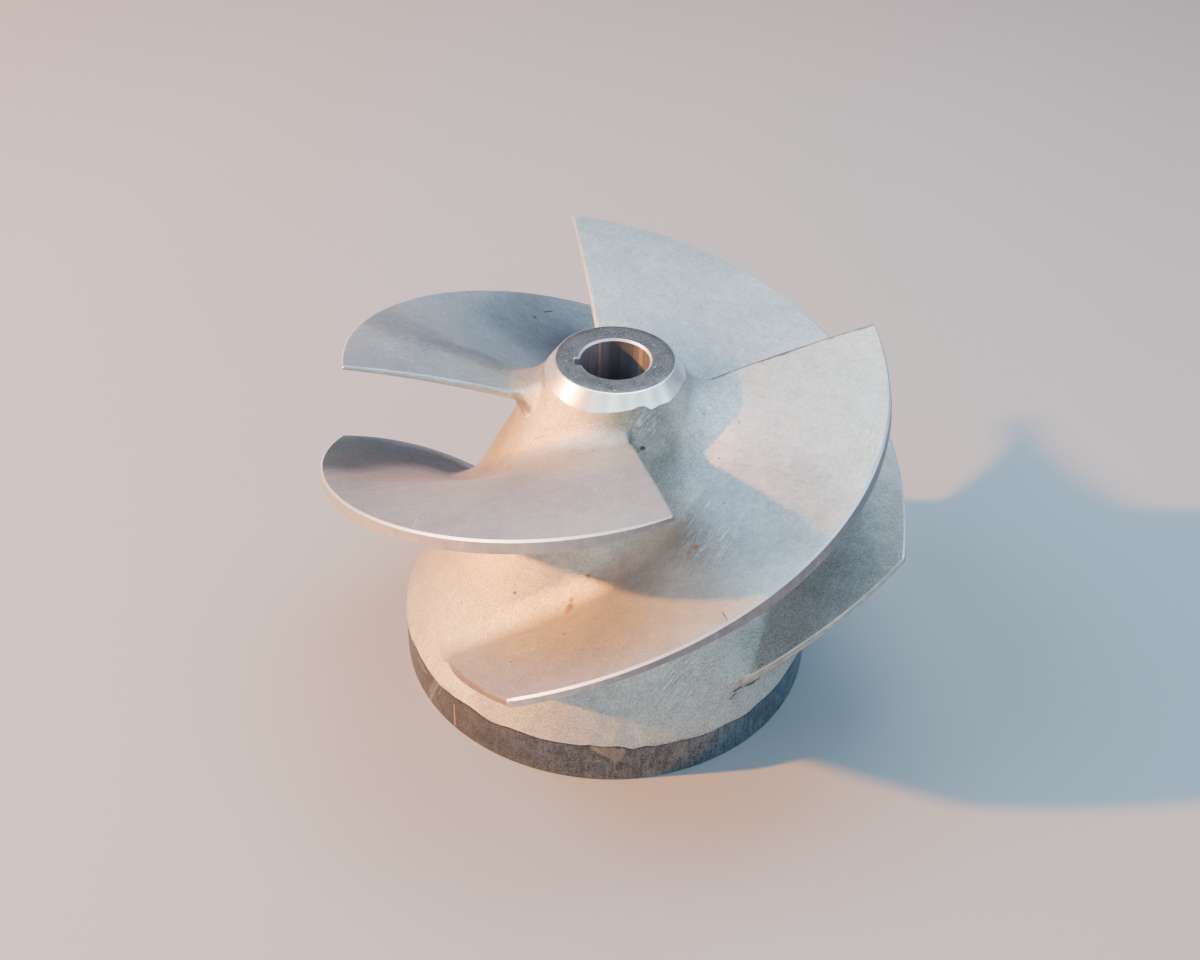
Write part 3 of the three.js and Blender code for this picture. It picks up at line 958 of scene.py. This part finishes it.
def turned_band():
    m, tree, shader, where = new_material("turned_band_stained")
    parts = node(tree, "SeparateXYZ", {0: where}).outputs
    lines = use(tree, TURNING, {"Across": parts["Z"], "Pitch": 0.0005})
    smear = cloud(tree, vcalc(tree, "MULTIPLY", where, (1.0, 1.0, 0.2)), 1.8, 3.0, 0.62, 0.3)
    blot = cloud(tree, where, 10, 3.0, 0.6)
    fleck = cloud(tree, where, 0.9, 2.0, 0.7)
    streaky = remap(tree, parts["X"], -0.06, 0.0, 0.2, 0.5)
    tone = plus(tree, swing(tree, smear, streaky), swing(tree, blot, 0.35))
    tone = plus(tree, plus(tree, tone, swing(tree, fleck, 0.75)), 0.5)
    # Painted light: the band's colours are dark and bluish as a painted reflection of dark surroundings, and lighter
    # and bluer towards +X as painted light on that side.
    side = remap(tree, parts["X"], -0.07, 0.055)
    dark = blend(tree, side, (0.054, 0.062, 0.075), (0.07, 0.10, 0.13))
    tone = remap(tree, tone, 0.36, 0.66)
    colour = blend(tree, tone, dark, blend(tree, side, (0.172, 0.188, 0.214), (0.25, 0.33, 0.41)))
    brown = remap(tree, cloud(tree, where, 14, 3.0, 0.6), 0.5, 0.7, soft=True)
    colour = over(tree, colour, brown, 0.25, (0.25, 0.205, 0.17))
    torn = use(tree, RAGGED, {"Vector": where})["Vector"]
    colour = over(tree, colour, lines_at(tree, torn, BAND_STAINS), 0.7, (0.07, 0.075, 0.065))
    scrape = lines_at(tree, torn, BAND_SCRAPES)
    colour = over(tree, colour, scrape, 0.7, (0.36, 0.35, 0.33))
    colour = over(tree, colour, lines_at(tree, where, BAND_COPPER_GLINTS), 0.85, (0.78, 0.42, 0.24))
    # Painted shadow: a dark line on the band just under the skin's edge, weaker towards +X.
    border = plus(tree, drawn(tree, "above_border"), swing(tree, cloud(tree, where, 4, 3.0, 0.6), 1.6))
    seam_shadow = remap(tree, border, -1.4, -0.7, soft=True)
    seam_shadow = times(tree, seam_shadow, remap(tree, cloud(tree, where, 6, 2.0), 0.4, 0.56, 0.25, 1.0, soft=True))
    seam_shadow = times(tree, seam_shadow, remap(tree, parts["X"], -0.06, 0.04, 1.0, 0.7))
    colour = over(tree, colour, seam_shadow, 0.85, (0.05, 0.045, 0.04))
    roughness = remap(tree, smear, 0.3, 0.7, 0.5, 0.38)
    relief = sunk(tree, weigh(tree, (lines["Height"], 0.4), (fleck, 0.8)), scrape, 1.5)
    coat(tree, shader, colour, 0.85, roughness, relief, 0.04)
    return m


def turned_rim():
    m, tree, shader, where = new_material("turned_rim")
    parts = node(tree, "SeparateXYZ", {0: where}).outputs
    lines = use(tree, TURNING, {"Across": parts["Z"], "Pitch": 0.0004})
    cloudy = cloud(tree, where, 6, 3.0, 0.6)
    upright = cloud(tree, vcalc(tree, "MULTIPLY", where, (1.0, 1.0, 0.05)), 3.5, 2.0, 0.6)
    tone = weigh(tree, (lines["Tone"], 0.35), (cloudy, 0.4), (upright, 0.25))
    steel = (0.58, 0.575, 0.57)
    colour = blend(tree, remap(tree, tone, 0.36, 0.64), scaled(steel, 0.72), scaled(steel, 1.06))
    colour = over(tree, colour, remap(tree, upright, 0.62, 0.7, soft=True), 0.6, (0.74, 0.72, 0.70))
    # Painted shade: the rim is darker towards +X.
    colour = tinted(tree, remap(tree, parts["X"], -0.03, 0.02), colour, (0.54, 0.53, 0.57))
    coat(tree, shader, colour, 0.95, remap(tree, cloudy, 0.3, 0.7, 0.46, 0.36), lines["Height"], 0.015)
    return m


def filed_edge():
    m, tree, shader, where = new_material("bright_filed_edge")
    tone = cloud(tree, where, 2.2, 3.0, 0.6)
    colour = blend(tree, remap(tree, tone, 0.3, 0.7), (0.84, 0.84, 0.84), (0.95, 0.95, 0.95))
    coat(tree, shader, colour, 0.8, remap(tree, tone, 0.3, 0.7, 0.5, 0.4), cloud(tree, where, 0.7, 2.0), 0.01)
    return m


def dressed_edge():
    """Trailing edges ground by hand: strokes run along the edge, and the front one is tinted brown round its middle.
    """
    m, tree, shader, where = new_material("dressed_trailing_edge")
    laid = node(tree, "UVMap", uv_map="blade_plan").outputs[0]
    strokes = cloud(tree, vcalc(tree, "MULTIPLY", laid, (1.0, 0.04, 1.0)), 0.9, 3.0, 0.65)
    tone = weigh(tree, (strokes, 0.65), (cloud(tree, where, 5, 3.0, 0.6), 0.35))
    colour = blend(tree, remap(tree, tone, 0.38, 0.62), (0.36, 0.34, 0.32), (0.78, 0.76, 0.73))
    brown = use(tree, SPOT, {"Vector": where, "Centre": scaled((-62, -118, 70), MM), "Radius": 0.075})["Mask"]
    colour = tinted(tree, brown, colour, (0.62, 0.50, 0.42))
    coat(tree, shader, colour, 0.85, remap(tree, strokes, 0.35, 0.65, 0.52, 0.4), strokes, 0.14)
    return m


def nose_face():
    m, tree, shader, where = new_material("nose_face_peened")
    flat = node(tree, "SeparateXYZ", {0: where}).outputs
    squares = plus(tree, calc(tree, "POWER", flat["X"], 2.0), calc(tree, "POWER", flat["Y"], 2.0))
    lines = use(tree, TURNING, {"Across": calc(tree, "SQRT", squares), "Pitch": 0.0005})
    fleck = cloud(tree, where, 0.9, 3.0, 0.75)
    tone = weigh(tree, (fleck, 0.65), (cloud(tree, where, 6, 2.0, 0.5), 0.2), (lines["Tone"], 0.15))
    colour = blend(tree, remap(tree, tone, 0.39, 0.61), (0.082, 0.082, 0.088), (0.225, 0.225, 0.23))
    bright = use(tree, SPECKS, {"Vector": where, "Spacing": 0.0026, "Size": 0.0009, "Share": 0.25})["Mask"]
    colour = over(tree, colour, bright, 0.7, (0.50, 0.50, 0.50))
    roughness = remap(tree, fleck, 0.35, 0.65, 0.6, 0.42)
    relief = plus(tree, fleck, times(tree, lines["Height"], 0.3))
    coat(tree, shader, colour, 0.9, roughness, relief, 0.06)
    return m


def turned_chamfer():
    m, tree, shader, where = new_material("bright_turned_chamfer")
    parts = node(tree, "SeparateXYZ", {0: where}).outputs
    lines = use(tree, TURNING, {"Across": parts["Z"], "Pitch": 0.0005})
    smear = cloud(tree, vcalc(tree, "MULTIPLY", where, (1.0, 1.0, 0.1)), 5, 2.0, 0.6)
    tone = weigh(tree, (lines["Tone"], 0.5), (smear, 0.5))
    colour = blend(tree, remap(tree, tone, 0.35, 0.65), (0.90, 0.90, 0.90), (1.0, 1.0, 1.0))
    roughness = remap(tree, cloud(tree, where, 4, 3.0), 0.3, 0.7, 0.36, 0.30)
    coat(tree, shader, colour, 0.85, roughness, lines["Height"], 0.005)
    return m


# Upright bands in the bore, as (azimuth in degrees, half width in degrees, strength): dark ones of painted shade and
# copper ones of painted glints of warm light
BORE_SHADE_BANDS = ((90, 15, 0.95), (70, 14, 0.6), (-120, 25, 0.6))
BORE_GLINTS = ((116.5, 2.2, 1), (43, 7, 1), (29, 3, 0.4))


def honed_bore():
    m, tree, shader, where = new_material("honed_bore")
    parts = node(tree, "SeparateXYZ", {0: where}).outputs
    lines = use(tree, TURNING, {"Across": parts["Z"], "Pitch": 0.0007})
    smear = cloud(tree, vcalc(tree, "MULTIPLY", where, (1.0, 1.0, 0.05)), 2.2, 3.0, 0.65)
    around = calc(tree, "DEGREES", calc(tree, "ARCTAN2", parts["Y"], parts["X"]))
    around = plus(tree, around, swing(tree, smear, 8.0))

    def upright(az, wide, strength):
        away = calc(tree, "ABSOLUTE", calc(tree, "SUBTRACT", around, az))
        return times(tree, remap(tree, away, wide, wide * 0.4, soft=True), strength)

    colour = blend(tree, remap(tree, smear, 0.38, 0.62), (0.40, 0.40, 0.44), (0.55, 0.55, 0.60))
    colour = over(tree, colour, most(tree, (upright(*band) for band in BORE_SHADE_BANDS)), 0.9, (0.24, 0.24, 0.27))
    colour = blend(tree, most(tree, (upright(*band) for band in BORE_GLINTS)), colour, (0.95, 0.72, 0.53))
    coat(tree, shader, colour, 0.9, remap(tree, smear, 0.3, 0.7, 0.42, 0.26), lines["Height"], 0.05)
    return m


# --- Camera, light and floor ---
# The photograph's camera: place in metres, turn, tilt and roll in radians, focal length and width in pixels
CAMERA_AT = (0, -0.57943, 0.56535)
YAW, PITCH, ROLL = -0.009457, 0.674083, -0.030354
FOCAL, PHOTO_WIDTH = 1472.32, 1200

# Lights as (name, azimuth, elevation, distance and size in metres, watts, colour)
LIGHTS = (
    ("key", -169.5, 22.2, 3.0, 0.12, 429, (1.0, 0.39, 0.06)),
    ("left", 180, 50, 1.6, 1.0, 26.7, (0.42, 0.69, 1.0)),
    ("back", 90, 70, 1.6, 1.0, 15.6, (0.86, 1.0, 0.84)),
    ("back_right", 45, 65, 1.6, 1.0, 11, (0.32, 0.60, 0.95)),
    ("low", -90, 12, 1.6, 1.0, 2.2, (0.09, 0.81, 1.0)),
    ("right", 5, 52, 1.6, 1.0, 7, (0.60, 0.80, 1.0)),
)
# A row of small ones in front, as (azimuth, elevation, watts)
FRONT_LIGHTS = ((-120, 28, 4.5), (-90, 31, 6.0), (-60, 29, 5.0), (-33, 24, 5.0), (-6, 16, 4.0))
LIGHTS_AIM = (0, 0, 0.08)
FLOOR_SIZE = 6
FLOOR_GAP = 0.0002


def make_camera():
    """Camera at the photograph's place: turned, tilted down and slightly rolled."""
    forward = Vector((sin(YAW) * cos(PITCH), cos(YAW) * cos(PITCH), -sin(PITCH)))
    right = Vector((cos(YAW), -sin(YAW), 0))
    down = forward.cross(right)
    x, y = cos(ROLL) * right + sin(ROLL) * down, sin(ROLL) * right - cos(ROLL) * down
    data = bpy.data.cameras.new("photo_camera")
    data.sensor_width = 36
    data.lens = FOCAL / PHOTO_WIDTH * 36
    data.clip_start, data.clip_end = 0.05, 50
    camera = bpy.data.objects.new("photo_camera", data)
    camera.matrix_world = Matrix.Translation(CAMERA_AT) @ Matrix((x, y, -forward)).transposed().to_4x4()
    bpy.context.scene.collection.objects.link(camera)
    bpy.context.scene.camera = camera


def soft_light(name, azimuth, elevation, distance, size, power, colour):
    turn, rise = radians(azimuth), radians(elevation)
    way = Vector((cos(turn) * cos(rise), sin(turn) * cos(rise), sin(rise)))
    data = bpy.data.lights.new(name, "AREA")
    data.shape, data.size, data.energy, data.color = "DISK", size, power, colour
    lamp = bpy.data.objects.new(name, data)
    place = Matrix.Translation(Vector(LIGHTS_AIM) + way * distance)
    lamp.matrix_world = place @ way.to_track_quat("Z", "Y").to_matrix().to_4x4()
    bpy.context.scene.collection.objects.link(lamp)


def make_stage():
    bm = bmesh.new()
    bmesh.ops.create_grid(bm, x_segments=1, y_segments=1, size=FLOOR_SIZE)
    bmesh.ops.translate(bm, verts=bm.verts, vec=(0, 0, -FLOOR_GAP))
    mesh = bpy.data.meshes.new("floor")
    bm.to_mesh(mesh)
    bm.free()
    m, tree, shader, where = new_material("plain_floor")
    plug(tree, shader.inputs["Base Color"], (0.36, 0.365, 0.375))
    shader.inputs["Roughness"].default_value = 0.9
    mesh.materials.append(m)
    floor = bpy.data.objects.new("floor", mesh)
    bpy.context.scene.collection.objects.link(floor)
    floor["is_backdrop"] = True
    world = bpy.data.worlds.new("studio")
    world.use_nodes = True
    world.node_tree.nodes["Background"].inputs[0].default_value = (0.03, 0.22, 1.0, 1)
    world.node_tree.nodes["Background"].inputs[1].default_value = 0.3
    bpy.context.scene.world = world
    for light in LIGHTS:
        soft_light(*light)
    for k, (azimuth, elevation, power) in enumerate(FRONT_LIGHTS):
        soft_light(f"front_{k + 1}", azimuth, elevation, 2.0, 0.55, power, (0.75, 1.0, 0.88))


make_camera()
make_stage()
skin = cast_skin()
rim = turned_rim()
edge = filed_edge()
make_hub({
    "rim": rim, "band": turned_band(), "skin": skin, "chamfer": turned_chamfer(), "nose": nose_face(),
    "bore_edge": edge, "bore": honed_bore(), "core": cast_skin("cored_back_as_cast", 0.8, False),
})
finishes = [skin, rim, edge, dressed_edge()]
for number, feet in enumerate(FEET):
    make_blade(number, feet, finishes)

plain = lambda box: [[float(v) for v in corner] for corner in box]
{"cad": plain(CAD_BOX), "visual": plain(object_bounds())}
